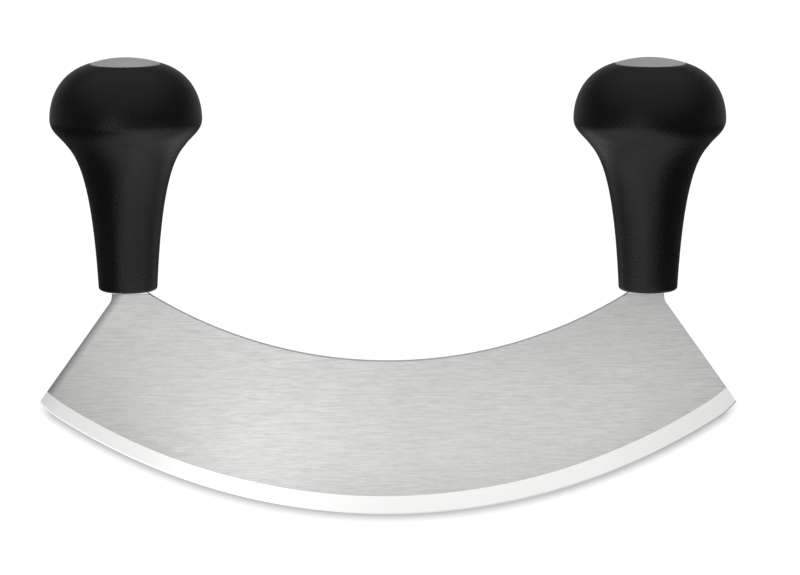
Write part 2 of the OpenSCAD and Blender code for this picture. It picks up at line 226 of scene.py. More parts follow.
class BladeSettings(PropertyGroup):
    """Sizes and colours of the steel"""

    edge_radius: length("Edge radius", "Radius of the cutting edge", 0.2, 0.185, 0.22)
    depth: length("Depth", "Depth from the spine to the cutting edge", 0.0518, 0.046, 0.058)
    end_angle: angle("End angle", "Angle of each slanted end from upright", 35.45, 32, 40)
    sweep_radius: length("Tip sweep", "Radius to which the edge sweeps up at each tip",
                         0.024, 0.016, 0.06)
    sweep_length: length("Sweep length", "Length of the edge that sweeps up",
                         0.008, 0.004, 0.012)
    bevel_width: length("Bevel", "Width of the ground bevel at the middle", 0.00638, 0.003, 0.01)
    bevel_line_radius: length("Bevel line", "Radius of the line where the bevel starts",
                              0.1958, 0.19, 0.21)
    bevel_line_shift: length("Bevel line shift", "How far that line's centre lies to the right",
                             -0.0014, -0.003, 0.003)
    bevel_follow: FloatProperty(name="Bevel follow",
                                description="Share of the tip's sweep that the line follows",
                                default=0.5, min=0, max=1)
    hone_width: length("Honed bevel", "Width of the honed bevel", 0.0005, 0.0003, 0.001)
    hone_thickness: length("Hone start", "Thickness where the honed bevel starts",
                           0.0005, 0.0003, 0.0008)
    edge_thickness: length("Edge", "Thickness that is left at the edge",
                           0.00012, 0.00008, 0.0002)
    neck_width: length("Neck", "Width of the neck that enters the grip", 0.0106, 0.009, 0.012)
    inner_fillet: length("Inner fillet", "Fillet between neck and spine", 0.005, 0.002, 0.007)
    outer_fillet: length("Outer fillet", "Fillet between neck and slanted end",
                         0.0055, 0.002, 0.009)
    coin_depth: length("Coining", "Depth of the coined faces of the neck",
                       0.0001, 0.00005, 0.0002)
    coin_drop: length("Coined strip", "Coined steel below the grip's underside",
                      0.0014, 0.0003, 0.004)
    tang_width: length("Tang width", "Width of the tang", 0.008, 0.007, 0.0088)
    tang_thickness: length("Tang thickness", "Thickness of the tang", 0.002, 0.0016, 0.0022)
    neck_clearance: length("Neck clearance", "Play of the neck in the grip's slot, on each side",
                           0.0011, 0.0005, 0.002)
    tang_chamfer: length("Tang chamfer", "Chamfer on the tang's end", 0.0015, 0.0005, 0.002)
    arris: length("Arris", "Rounding left by deburring the plate's edges", 0.00012, 0, 0.0003)
    arc_steps: IntProperty(name="Arc steps", description="Faces along half of the cutting edge",
                           default=90, min=24, max=200)
    brushed: colour("Brushed steel", "Colour of the brushed faces", "#c3c3c2")
    streak: colour("Streaks", "Colour of the deeper brushing marks", "#adadac")
    # Colour of the painted shade along the brushed face's left border
    painted_border_shade: colour("Painted border shade", "Colour of the brushed face at its left border", "#7a7a79")
    ground: colour("Ground steel", "Colour of the finely ground bevel", "#e4e4e3")
    sheared: colour("Sheared steel", "Colour of the plate's narrow faces", "#efefee")
    # Colours of the honed bevel: a painted highlight at the left end, fading to painted shade at
    # the right end
    honed: colour("Honed steel", "Colour of the honed bevel at the left end", "#fafafa")
    honed_painted_shade: colour("Honed steel, painted shade", "Colour of the honed bevel at the right end",
                       "#b4b4b3")


class GripSettings(PropertyGroup):
    """Sizes and colours of the grips and their caps"""

    shank_diameter: length("Shank", "Diameter at the bottom of the shank",
                           0.0194, 0.0184, 0.021)
    knob_height: length("Knob height", "Height of the widest part", 0.0566, 0.054, 0.058)
    underside_round: length("Lower edge", "Rounding of the lower edge", 0.0012, 0.0005, 0.002)
    skin: length("Skin", "Least thickness over the hard core", 0.004, 0.003, 0.005)
    lip: length("Lip", "Width of the lip round the end cap", 0.0005, 0.0003, 0.001)
    turn_steps: IntProperty(name="Turn steps", description="Faces round a turned piece",
                            default=144, min=48, max=256)
    soft_black: colour("Soft grip", "Colour of the moulded elastomer", "#0d0e0f")
    grey: colour("End cap", "Colour of the end cap", "#bcbcbc")
    core_grey: colour("Hard core", "Colour of the glass-filled core", "#3a3b3d")


class StageSettings(PropertyGroup):
    """The pale stage"""

    paper: colour("Sheet", "Colour of the sheet that the edge stands on", "#ffffff")


def add(tree, kind, inputs=None, **settings):
    """Adds a shader node. An input is a socket to join or a plain value to set."""
    node = tree.nodes.new("ShaderNode" + kind)
    for name, value in settings.items():
        setattr(node, name, value)
    for name, value in (inputs or {}).items():
        if isinstance(value, bpy.types.NodeSocket):
            tree.links.new(value, node.inputs[name])
        else:
            node.inputs[name].default_value = value
    return node


def empty_material(name):
    """A material with an empty node tree."""
    material = bpy.data.materials.new(name)
    material.use_nodes = True
    material.node_tree.nodes.clear()
    return material, material.node_tree


def new_material(name):
    """A material with its node tree and its surface shader."""
    material, tree = empty_material(name)
    shader = add(tree, "BsdfPrincipled")
    add(tree, "OutputMaterial", {"Surface": shader.outputs["BSDF"]})
    return material, tree, shader


def rgba(value):
    """A colour setting with full alpha."""
    return (*value, 1)


def stretched(tree, sizes):
    """Object coordinates measured in units of the given sizes along X, Y and Z."""
    place = add(tree, "TexCoord").outputs["Object"]
    scale = tuple(1 / size for size in sizes)
    return add(tree, "Mapping", {"Vector": place, "Scale": scale}).outputs["Vector"]


def blade_steel(steel):
    """Stainless steel plate, belt-brushed along its length, with a finely ground bevel.

    The brushing gives grey streaks that catch the light unevenly. The ground bevel is smoother
    and paler, and the coined strip under each grip is bright because no belt reaches it.
    """
    material, tree, shader = new_material("stainless_steel_brushed_and_ground")
    place = add(tree, "TexCoord").outputs["Object"]
    axes = add(tree, "SeparateXYZ", {"Vector": place}).outputs
    depth = add(tree, "Math", {0: axes["Y"]}, operation="ABSOLUTE").outputs["Value"]

    # The grind starts where the plate gets thinner, in the outer ring of the plate
    flat = add(tree, "VectorMath", {0: place, 1: (1, 0, 1)}, operation="MULTIPLY")
    radius = add(tree, "VectorMath", {0: flat.outputs["Vector"], 1: (0, 0, steel.edge_radius)},
                 operation="DISTANCE").outputs["Value"]
    outer = add(tree, "Math", {0: radius, 1: steel.edge_radius - GRIND_REACH * steel.bevel_width},
                operation="GREATER_THAN").outputs["Value"]
    thinner = add(tree, "MapRange", {"Value": depth, "From Min": BLADE_HIGH.y - GRIND_FULL,
                                     "From Max": BLADE_HIGH.y - GRIND_START,
                                     "To Min": 1.0, "To Max": 0.0}).outputs["Result"]
    ground = add(tree, "Math", {0: outer, 1: thinner}, operation="MULTIPLY").outputs["Value"]
    coin_z = UNDERSIDE_Z - steel.coin_drop
    coined = add(tree, "MapRange", {"Value": axes["Z"], "From Min": coin_z,
                                    "From Max": coin_z + steel.coin_depth}).outputs["Result"]
    shining = add(tree, "Math", {0: coined, 1: COIN_SHINE}, operation="MULTIPLY").outputs["Value"]
    smooth = add(tree, "Math", {0: ground, 1: shining}, operation="MAXIMUM").outputs["Value"]

    short = add(tree, "TexNoise", {"Vector": stretched(tree, SHORT_MARK), "Scale": 1.0,
                                   "Detail": 2.0, "Roughness": 0.6}).outputs["Fac"]
    long = add(tree, "TexNoise", {"Vector": stretched(tree, LONG_MARK), "Scale": 1.0,
                                  "Detail": 1.0, "Roughness": 0.5}).outputs["Fac"]
    marks = add(tree, "Mix", {"Factor": LONG_SHARE, NUMBER_A: short, NUMBER_B: long},
                data_type="FLOAT").outputs[NUMBER_OUT]
    contrast = add(tree, "MapRange", {"Value": marks, "From Min": MARK_LOW,
                                      "From Max": MARK_HIGH}).outputs["Result"]
    tint = add(tree, "Mix", {"Factor": contrast, COLOUR_A: rgba(steel.streak),
                             COLOUR_B: rgba(steel.brushed)}, data_type="RGBA")

    # Painted shade: the brushed face is darker along its border at the slanted left end
    slope = steel.end_angle
    border = -steel.edge_radius * math.sin(slope)
    across = add(tree, "VectorMath", {0: place, 1: (math.cos(slope), 0, -math.sin(slope))},
                 operation="DOT_PRODUCT").outputs["Value"]
    border_shade_share = add(tree, "MapRange", {"Value": across, "From Min": border,
                                     "From Max": border + BORDER_SHADE_WIDTH,
                                     "To Min": 1.0, "To Max": 0.0}).outputs["Result"]

    # The narrow faces are as the blanking tool left them: dull, with no streaks
    thin = BLADE_HIGH.y - steel.coin_depth - steel.arris
    inside = add(tree, "Math", {0: depth, 1: thin}, operation="LESS_THAN").outputs["Value"]
    narrow = add(tree, "Math", {0: inside, 1: ground}, operation="SUBTRACT",
                 use_clamp=True).outputs["Value"]

    # The honed bevel is the thinnest steel of the grind. Its colour has a painted highlight at the
    # left end that fades to painted shade at the right end
    slim = add(tree, "Math", {0: depth, 1: steel.hone_thickness / 2},
               operation="LESS_THAN").outputs["Value"]
    honed = add(tree, "Math", {0: slim, 1: ground}, operation="MULTIPLY").outputs["Value"]
    along = add(tree, "MapRange", {"Value": axes["X"], "From Min": HONE_HIGHLIGHT_X,
                                   "From Max": HONE_SHADE_X}).outputs["Result"]
    honed_highlight_to_shade = add(tree, "Mix", {"Factor": along, COLOUR_A: rgba(steel.honed),
                               COLOUR_B: rgba(steel.honed_painted_shade)},
                 data_type="RGBA").outputs[COLOUR_OUT]

    for share, finish in ((border_shade_share, rgba(steel.painted_border_shade)), (smooth, rgba(steel.ground)),
                          (narrow, rgba(steel.sheared)), (honed, honed_highlight_to_shade)):
        tint = add(tree, "Mix", {"Factor": share, COLOUR_A: tint.outputs[COLOUR_OUT],
                                 COLOUR_B: finish}, data_type="RGBA")
    tree.links.new(tint.outputs[COLOUR_OUT], shader.inputs["Base Color"])
    shader.inputs["Metallic"].default_value = 1.0

    rough = add(tree, "MapRange", {"Value": marks, "From Min": MARK_LOW, "From Max": MARK_HIGH,
                                   "To Min": STREAK_ROUGHNESS,
                                   "To Max": BRUSHED_ROUGHNESS}).outputs["Result"]
    for share, finish in ((smooth, GROUND_ROUGHNESS), (narrow, SHEARED_ROUGHNESS),
                          (honed, HONED_ROUGHNESS)):
        rough = add(tree, "Mix", {"Factor": share, NUMBER_A: rough, NUMBER_B: finish},
                    data_type="FLOAT").outputs[NUMBER_OUT]
    tree.links.new(rough, shader.inputs["Roughness"])

    relief = add(tree, "Math", {0: 1.0, 1: smooth}, operation="SUBTRACT").outputs["Value"]
    strength = add(tree, "Math", {0: relief, 1: MARK_STRENGTH},
                   operation="MULTIPLY").outputs["Value"]
    bump = add(tree, "Bump", {"Strength": strength, "Distance": MARK_DEPTH, "Height": marks})
    tree.links.new(bump.outputs["Normal"], shader.inputs["Normal"])
    return material


def moulded(name, tint, roughness, grain, depth, specular):
    """Moulded polymer with the even grain that a spark-eroded mould leaves."""
    material, tree, shader = new_material(name)
    grains = add(tree, "TexNoise", {"Vector": stretched(tree, (grain,) * 3), "Scale": 1.0,
                                    "Detail": 2.0, "Roughness": 0.7}).outputs["Fac"]
    cloud = add(tree, "TexNoise", {"Vector": stretched(tree, (CLOUD_SIZE,) * 3), "Scale": 1.0,
                                   "Detail": 1.0}).outputs["Fac"]
    shade = add(tree, "Mix", {"Factor": cloud,
                              COLOUR_A: rgba(c * (1 - TINT_CHANGE) for c in tint),
                              COLOUR_B: rgba(c * (1 + TINT_CHANGE) for c in tint)},
                data_type="RGBA")
    tree.links.new(shade.outputs[COLOUR_OUT], shader.inputs["Base Color"])
    rough = add(tree, "MapRange", {"Value": grains, "To Min": roughness - GRAIN_CHANGE,
                                   "To Max": roughness + GRAIN_CHANGE}).outputs["Result"]
    tree.links.new(rough, shader.inputs["Roughness"])
    shader.inputs["Specular IOR Level"].default_value = specular
    bump = add(tree, "Bump", {"Strength": 1.0, "Distance": depth, "Height": grains})
    tree.links.new(bump.outputs["Normal"], shader.inputs["Normal"])
    return material


def soft_grip_rubber(grips):
    """Black thermoplastic elastomer, moulded over the core in a finely eroded mould.

    It is satin: the grain breaks highlights into a faint sparkle. The grain is about 0.15 mm
    on the real grip and is drawn at 0.6 mm, nearly two pixels, so that it shows.
    """
    return moulded("elastomer_moulded_satin_black", grips.soft_black, roughness=0.27,
                   grain=0.6 * MM, depth=0.13 * MM, specular=0.18)


def cap_plastic(grips):
    """Grey ABS, moulded matt, which looks even and dull beside the satin grip."""
    return moulded("abs_moulded_matt_grey", grips.grey, roughness=0.62,
                   grain=0.4 * MM, depth=0.01 * MM, specular=0.4)


def core_plastic(grips):
    """Glass-filled nylon, moulded, whose fibres leave a mottled dull skin."""
    return moulded("nylon_glass_filled_moulded_grey", grips.core_grey, roughness=0.6,
                   grain=0.8 * MM, depth=0.02 * MM, specular=0.5)


def plated_steel():
    """Zinc-plated carbon steel, turned, with a bluish bright coat and fine tool marks."""
    material, tree, shader = new_material("zinc_plated_steel_turned")
    marks = add(tree, "TexNoise", {"Vector": stretched(tree, TOOL_MARK), "Scale": 1.0,
                                   "Detail": 2.0}).outputs["Fac"]
    tint = add(tree, "Mix", {"Factor": marks, COLOUR_A: rgba(linear(ZINC_DARK)),
                             COLOUR_B: rgba(linear(ZINC_PALE))}, data_type="RGBA")
    tree.links.new(tint.outputs[COLOUR_OUT], shader.inputs["Base Color"])
    shader.inputs["Metallic"].default_value = 1.0
    rough = add(tree, "MapRange", {"Value": marks, "To Min": ZINC_SMOOTH, "To Max": ZINC_ROUGH})
    tree.links.new(rough.outputs["Result"], shader.inputs["Roughness"])
    bump = add(tree, "Bump", {"Strength": TOOL_MARK_STRENGTH, "Distance": MARK_DEPTH,
                              "Height": marks})
    tree.links.new(bump.outputs["Normal"], shader.inputs["Normal"])
    return material


def new_object(name, data):
    """Puts a mesh, a lamp or a camera in the scene, as an object at the origin."""
    made = bpy.data.objects.new(name, data)
    bpy.context.scene.collection.objects.link(made)
    return made


def into_mesh(bm, name, *materials):
    """Moves what a bmesh holds into a new mesh."""
    mesh = bpy.data.meshes.new(name)
    bm.to_mesh(mesh)
    bm.free()
    for material in materials:
        mesh.materials.append(material)
    return mesh


def made_verts(geometry):
    """The vertices among what a bmesh operator made."""
    return [v for v in geometry if isinstance(v, bmesh.types.BMVert)]


def finish_piece(bm, name, material, smooth_angle):
    """Makes the piece's object, smooth where its faces meet at less than smooth_angle."""
    bmesh.ops.remove_doubles(bm, verts=bm.verts, dist=WELD)
    bmesh.ops.recalc_face_normals(bm, faces=bm.faces)
    for face in bm.faces:
        face.smooth = True
    for edge in bm.edges:
        edge.smooth = edge.calc_face_angle(math.pi) < smooth_angle
    return new_object(name, into_mesh(bm, name, material))


def stand_for(piece, node):
    """The piece moves with the part, and shows instead of a CAD node."""
    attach(piece, "root")
    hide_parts(node)


def swing(bm, vertex, centre, turn, steps):
    """Draws an arc on from a vertex, counter-clockwise seen from the front. Returns its end."""
    made = bmesh.ops.spin(bm, geom=[vertex], cent=centre, axis=(0, -1, 0), angle=turn,
                          steps=steps)
    return made_verts(made["geom_last"])[0]


def line_to(bm, vertex, x, z):
    """Draws a straight line on from a vertex to a place in the same plane. Returns its end."""
    made = bmesh.ops.extrude_vert_indiv(bm, verts=[vertex])["verts"][0]
    made.co = (x, vertex.co.y, z)
    return made


def bevel_line_centre(steel):
    """Centre of the arc where the bevel starts. Ground by hand, it lies off the edge's centre."""
    return Vector((steel.bevel_line_shift, 0, steel.bevel_line_radius + steel.bevel_width))


def ray_to_circle(ray, middle, radius):
    """How far along a ray, from the origin of both, a circle round a middle point is crossed."""
    along = ray.dot(middle)
    return along + math.sqrt(along ** 2 - middle.length_squared + radius ** 2)


def edge_reach(steel, ray):
    """Distance of the cutting edge from its centre along a ray: the arc, then the swept tip."""
    sweep_start = steel.end_angle - steel.sweep_length / steel.edge_radius
    if math.atan2(abs(ray.x), -ray.z) <= sweep_start:
        return steel.edge_radius
    middle = Vector((math.copysign(math.sin(sweep_start), ray.x), 0, -math.cos(sweep_start)))
    middle *= steel.edge_radius - steel.sweep_radius
    return ray_to_circle(ray, middle, steel.sweep_radius)


def set_bevel_line(bm, steel, centre):
    """Moves the face's lower arc to the line where the bevel starts. Returns its edges."""
    arc_radius = steel.edge_radius - steel.bevel_width
    middle = bevel_line_centre(steel) - Vector((0, 0, steel.edge_radius))
    rim = [v for v in bm.verts if abs((v.co - centre).length - arc_radius) < NEAR]
    for vertex in rim:
        ray = (vertex.co - centre).normalized()
        reach = ray_to_circle(ray, middle, steel.bevel_line_radius)
        swept = steel.edge_radius - edge_reach(steel, ray)
        vertex.co = centre + ray * (reach - steel.bevel_follow * swept)
    return [e for e in bm.edges if all(v in rim for v in e.verts)]


def draw_flat_face(bm, steel):
    """Draws the outline of the blade's flat face and fills it: one half, then its mirror image."""
    centre = Vector((0, -BLADE_HIGH.y, steel.edge_radius))
    spine_radius = steel.edge_radius - steel.depth
    axis_x = handle_x("right")
    inner_x, outer_x = axis_x - steel.neck_width / 2, axis_x + steel.neck_width / 2
    slope = steel.end_angle

    outer_centre = centre.copy()
    outer_centre.x = outer_x + steel.outer_fillet
    outer_centre.z += (steel.outer_fillet - outer_centre.x * math.cos(slope)) / math.sin(slope)
    foot = outer_centre + steel.outer_fillet * Vector((-math.cos(slope), 0, -math.sin(slope)))
    inner_centre = centre.copy()
    inner_centre.x = inner_x - steel.inner_fillet
    inner_reach = spine_radius - steel.inner_fillet
    inner_centre.z -= math.sqrt(inner_reach ** 2 - inner_centre.x ** 2)
    inner_turn = math.asin(inner_centre.x / inner_reach)

    start = bm.verts.new((0, centre.y, steel.bevel_width))
    end = swing(bm, start, centre, slope, steel.arc_steps)
    end = line_to(bm, end, foot.x, foot.z)
    end = swing(bm, end, outer_centre, -slope, OUTER_FILLET_STEPS)
    end = line_to(bm, end, outer_x, SHOULDER_Z)
    end = line_to(bm, end, inner_x, SHOULDER_Z)
    end = line_to(bm, end, inner_x, inner_centre.z)
    end = swing(bm, end, inner_centre, inner_turn - math.pi / 2, INNER_FILLET_STEPS)
    swing(bm, end, centre, -inner_turn, steel.arc_steps)
    bmesh.ops.mirror(bm, geom=bm.verts[:] + bm.edges[:], axis="X", merge_dist=MERGE)
    bmesh.ops.remove_doubles(bm, verts=bm.verts, dist=MERGE)
    lines = set_bevel_line(bm, steel, centre)
    bmesh.ops.contextual_create(bm, geom=bm.edges[:])
    return centre, lines


def coin_necks(bm, steel):
    """Sets the neck's faces back where the neck enters the grip."""
    coin_z = UNDERSIDE_Z - steel.coin_drop
    for z in (coin_z, coin_z + steel.coin_depth):
        bmesh.ops.bisect_plane(bm, geom=bm.verts[:] + bm.edges[:] + bm.faces[:], dist=MERGE,
                               plane_co=(0, 0, z), plane_no=(0, 0, 1))
    set_back = [v for v in bm.verts if v.co.z > coin_z + steel.coin_depth / 2]
    bmesh.ops.translate(bm, verts=set_back, vec=(0, steel.coin_depth, 0))


def draw_bevels(bm, steel, centre, rim):
    """Extrudes the face's lower arc outwards twice: the ground bevel and the honed bevel."""
    facets = ((steel.hone_width, steel.hone_thickness), (0, steel.edge_thickness))
    for inset, thickness in facets:
        made = bmesh.ops.extrude_edge_only(bm, edges=rim)["geom"]
        verts = made_verts(made)
        rim = [e for e in made if isinstance(e, bmesh.types.BMEdge)
               and all(v in verts for v in e.verts)]
        for vertex in verts:
            ray = ((vertex.co - centre) * Vector((1, 0, 1))).normalized()
            vertex.co = centre + ray * (edge_reach(steel, ray) - inset)
            vertex.co.y = -thickness / 2


def raise_tangs(bm, steel):
    """Draws each tang up from the shoulders of its neck."""
    tops = [f for f in bm.faces
            if f.normal.z > FACING_UP and f.calc_center_median().z > SHOULDER_Z - NEAR]
    tall = BLADE_HIGH.z - SHOULDER_Z
    widths = (steel.tang_width, steel.tang_width, steel.tang_width - 2 * steel.tang_chamfer)
    rises = (0, tall - steel.tang_chamfer, steel.tang_chamfer)
    for face in tops:
        for width, rise in zip(widths, rises):
            face = bmesh.ops.extrude_discrete_faces(bm, faces=[face])["faces"][0]
            middle = face.calc_center_median()
            xs, ys = [v.co.x for v in face.verts], [v.co.y for v in face.verts]
            factors = (width / (max(xs) - min(xs)), steel.tang_thickness / (max(ys) - min(ys)), 1)
            bmesh.ops.scale(bm, verts=face.verts, vec=factors, space=Matrix.Translation(-middle))
            bmesh.ops.translate(bm, verts=face.verts, vec=(0, 0, rise))


class MEZZALUNA_OT_blade(Operator):
    """Blade: a stamped plate with concentric spine and edge, ground bevels, necks and tangs"""

    bl_idname = "mezzaluna.blade"
    bl_label = "Blade"

    def execute(self, context):
        steel = context.scene.mezzaluna_blade
        bm = bmesh.new()
        centre, rim = draw_flat_face(bm, steel)
        draw_bevels(bm, steel, centre, rim)
        coin_necks(bm, steel)
        # The back is the front's mirror image, and the narrow faces join their outlines
        bmesh.ops.mirror(bm, geom=bm.verts[:] + bm.edges[:] + bm.faces[:], axis="Y",
                         merge_dist=-1)
        bmesh.ops.bridge_loops(bm, edges=[e for e in bm.edges if e.is_boundary])
        bmesh.ops.recalc_face_normals(bm, faces=bm.faces)
        bm.normal_update()
        raise_tangs(bm, steel)
        if any(not e.is_manifold for e in bm.edges):
            raise RuntimeError("the blade isn't closed")
        thick = BLADE_HIGH.y * ARRIS_LEAST_THICKNESS
        arrises = [e for e in bm.edges if e.calc_face_angle(0) > ARRIS_ANGLE
                   and all(abs(v.co.y) > thick and v.co.z < UNDERSIDE_Z for v in e.verts)]
        bmesh.ops.bevel(bm, geom=arrises, affect="EDGES", offset=steel.arris,
                        offset_type="OFFSET", segments=2, profile=0.5, material=-1,
                        clamp_overlap=True)
        piece = finish_piece(bm, "blade_steel", blade_steel(steel), smooth_angle=math.radians(5))
        stand_for(piece, "blade")
        return {"FINISHED"}


def turn(profile, axis_x, steps):
    """Turns a profile of radii and heights round a handle's axis."""
    bm = bmesh.new()
    points = [bm.verts.new((axis_x + r, 0, z)) for r, z in profile]
    lines = [bm.edges.new(pair) for pair in zip(points, points[1:])]
    bmesh.ops.spin(bm, geom=points + lines, cent=(axis_x, 0, 0), axis=(0, 0, 1),
                   angle=2 * math.pi, steps=steps, use_merge=True)
    return bm


def mouth_radius():
    """Radius of the mouth that the end cap sits in."""
    return (CAP_HIGH.x - CAP_LOW.x) / 2 + MOUTH_PLAY


def grip_side(grips):
    """Side of the grip as radii and heights: waisted shank, flare, knob and dome."""
    knob_radius = (GRIP_HIGH.y - GRIP_LOW.y) / 2
    knob_z = UNDERSIDE_Z + grips.knob_height
    shank_start = Vector((grips.shank_diameter / 2, UNDERSIDE_Z + grips.underside_round))
    flare_point = Vector((knob_radius - FLARE_IN, knob_z - FLARE_DROP))
    knob_point = Vector((knob_radius, knob_z))
    lip_point = Vector((mouth_radius() + grips.lip, LIP_Z))

    def lean(angle, reach):
        return reach * Vector((math.sin(angle), math.cos(angle)))

    shank_reach = SHANK_PULL * (flare_point.y - shank_start.y)
    curves = [
        (shank_start, shank_start + lean(SHANK_LEAN, shank_reach),
         flare_point - lean(FLARE_ANGLE, FLARE_PULL), flare_point),
        (flare_point, flare_point + lean(FLARE_ANGLE, FLARE_LEAD),
         knob_point - lean(0, KNOB_PULL), knob_point),
        (knob_point, knob_point + lean(0, DOME_PULL),
         lip_point + lean(math.pi / 2 + LIP_ANGLE, LIP_PULL), lip_point),
    ]
    side = [shank_start]
    for curve in curves:
        drawn = interpolate_bezier(*(point.to_3d() for point in curve), SIDE_STEPS + 1)
        side += [p.to_2d() for p in drawn[1:]]
    return side


def radius_at(side, z):
    """Radius of a side, listed upwards, at a height."""
    for low, high in zip(side, side[1:]):
        if low.y <= z <= high.y:
            return low.x + (high.x - low.x) * (z - low.y) / (high.y - low.y)
    raise RuntimeError("that height is off the grip's side")


def grip_sections(grips):
    """Half sections, as radii and heights, of the grip and of the room for a rib of the core."""
    half_rib = RIB_THICKNESS / 2 + BOND
    sleeve, hub, mouth = SLEEVE_RADIUS + BOND, HUB_RADIUS + BOND, mouth_radius()
    collar_z, ring_z = CAP_LOW.z - COLLAR_DROP, SEAT_Z + RING_RISE
    side = grip_side(grips)
    core_side = [Vector((p.x - grips.skin + BOND, p.y)) for p in side]
    corner = grips.underside_round
    edge = [(grips.shank_diameter / 2 - corner + corner * math.sin(a),
             UNDERSIDE_Z + corner * (1 - math.cos(a))) for a in LOWER_EDGE_TURNS]
    bore = [(mouth, LIP_Z), (mouth, collar_z + mouth - hub), (hub, collar_z)]
    for z in (UNDERSIDE_Z + grips.knob_height, ring_z):
        upper, lower = z + half_rib, z - half_rib
        bore += [(hub, upper), (radius_at(core_side, upper), upper),
                 (radius_at(core_side, lower), lower), (hub, lower)]
    bore += [(hub, SEAT_Z - WELL_CONE), (sleeve, SEAT_Z - 2 * WELL_CONE),
             (sleeve, SHOULDER_Z - BOND), (0, SHOULDER_Z - BOND)]
    grip = [(0, UNDERSIDE_Z)] + edge + [tuple(p) for p in side] + bore

    rib_side = [tuple(p) for p in core_side if p.y > ring_z and p.x > mouth + RIB_STOP]
    root = hub - RIB_ROOT
    rib = [(root, ring_z), (radius_at(core_side, ring_z), ring_z)]
    rib += rib_side + [(root, rib_side[-1][1])]
    return grip, rib


def cut_out(piece, cutters):
    """Cuts loose closed shapes out of a piece, and keeps the result in its mesh."""
    cutter = new_object("cutter", into_mesh(cutters, "cutter"))
    cut = piece.modifiers.new("cut", "BOOLEAN")
    cut.operation, cut.solver, cut.object = "DIFFERENCE", "EXACT", cutter
    seen = bpy.context.evaluated_depsgraph_get()
    mesh = bpy.data.meshes.new_from_object(piece.evaluated_get(seen))
    piece.modifiers.clear()
    old, piece.data = piece.data, mesh
    mesh.name = piece.name
    bpy.data.meshes.remove(old)
    spent = cutter.data
    bpy.data.objects.remove(cutter)
    bpy.data.meshes.remove(spent)


def spaced_round(bm, axis_x, count):
    """Repeats what a bmesh holds round a handle's axis."""
    bmesh.ops.spin(bm, geom=bm.verts[:] + bm.edges[:] + bm.faces[:], cent=(axis_x, 0, 0),
                   axis=(0, 0, 1), angle=2 * math.pi * (count - 1) / count, steps=count - 1,
                   use_duplicate=True)


def box_between(bm, low, high):
    """Adds a box between two corners."""
    made = bmesh.ops.create_cube(bm, size=1)["verts"]
    bmesh.ops.scale(bm, verts=made, vec=high - low)
    bmesh.ops.translate(bm, verts=made, vec=(low + high) / 2)


class MEZZALUNA_OT_grips(Operator):
    """Soft grips: turned mushroom knobs, hollow over the ribbed core, slotted for the neck"""

    bl_idname = "mezzaluna.grips"
    bl_label = "Soft grips"

    def execute(self, context):
        grips = context.scene.mezzaluna_grips
        steel = context.scene.mezzaluna_blade
        rubber = soft_grip_rubber(grips)
        grip, rib = grip_sections(grips)
        half_rib = RIB_THICKNESS / 2 + BOND
        slot = Vector((steel.neck_width / 2 + steel.neck_clearance, BLADE_HIGH.y, CUT_MARGIN))
        for name in SIDES:
            x = handle_x(name)
            piece = finish_piece(turn(grip, x, grips.turn_steps), f"{name}_soft_grip", rubber,
                                 smooth_angle=math.radians(30))
            cutters = bmesh.new()
            outline = [cutters.verts.new((x + r, -half_rib, z)) for r, z in rib]
            face = bmesh.ops.contextual_create(cutters, geom=outline)["faces"]
            made = bmesh.ops.extrude_face_region(cutters, geom=face, use_keep_orig=True)["geom"]
            bmesh.ops.translate(cutters, verts=made_verts(made), vec=(0, 2 * half_rib, 0))
            spaced_round(cutters, x, RIB_COUNT)
            box_between(cutters, Vector((x, 0, UNDERSIDE_Z)) - slot,
                        Vector((x, 0, SHOULDER_Z)) + slot)
            bmesh.ops.recalc_face_normals(cutters, faces=cutters.faces)
            cut_out(piece, cutters)
            stand_for(piece, f"{name}_grip")
        return {"FINISHED"}


def cap_section():
    """Half section of the end cap as radii and heights: dome, rim, beaded skirt and roof."""
    rim_radius = (CAP_HIGH.x - CAP_LOW.x) / 2
    rim_z = CORE_TOP_Z + CAP_RIM_RISE
    rise = CAP_HIGH.z - rim_z
    dome_radius = (rim_radius ** 2 + rise ** 2) / (2 * rise)
    dome_end = math.asin((rim_radius - CAP_ROUNDING) / dome_radius)
    bead_z, roof_z = CAP_LOW.z + BEAD_RISE, CAP_HIGH.z - CAP_ROOF
    inner = SKIRT_RADIUS - SKIRT_WALL
    dome = [(dome_radius * math.sin(a), CAP_HIGH.z - dome_radius * (1 - math.cos(a)))
            for a in (dome_end * i / DOME_STEPS for i in range(DOME_STEPS + 1))]
    rim = [(rim_radius - CAP_CORNER_IN, rim_z + CAP_CORNER_UP),
           (rim_radius, rim_z - CAP_ROUNDING / 2), (rim_radius, CORE_TOP_Z)]
    skirt = [(SKIRT_RADIUS, CORE_TOP_Z), (SKIRT_RADIUS, bead_z + 4 * BEAD),
             (SKIRT_RADIUS + BEAD, bead_z + 2 * BEAD), (SKIRT_RADIUS, bead_z),
             (SKIRT_RADIUS, CAP_LOW.z), (inner, CAP_LOW.z), (inner, roof_z), (0, roof_z)]
    return dome + rim + skirt


class MEZZALUNA_OT_end_caps(Operator):
    """End caps: grey domes with a slotted skirt that snaps into the core"""

    bl_idname = "mezzaluna.end_caps"
    bl_label = "End caps"

    def execute(self, context):
        grips = context.scene.mezzaluna_grips
        plastic = cap_plastic(grips)
        section = cap_section()
        for name in SIDES:
            x = handle_x(name)
            piece = finish_piece(turn(section, x, grips.turn_steps), f"{name}_domed_cap",
                                 plastic, smooth_angle=math.radians(20))
            cutters = bmesh.new()
            box_between(cutters, Vector((x + SKIRT_RADIUS - 2 * SKIRT_WALL, -SLOT_HALF_WIDTH,
                                         CAP_LOW.z - CUT_MARGIN)),
                        Vector((x + SKIRT_RADIUS + 2 * BEAD, SLOT_HALF_WIDTH,
                                CORE_TOP_Z - SLOT_TOP_DROP)))
            spaced_round(cutters, x, SLOT_COUNT)
            cut_out(piece, cutters)
            stand_for(piece, f"{name}_end_cap")
        return {"FINISHED"}


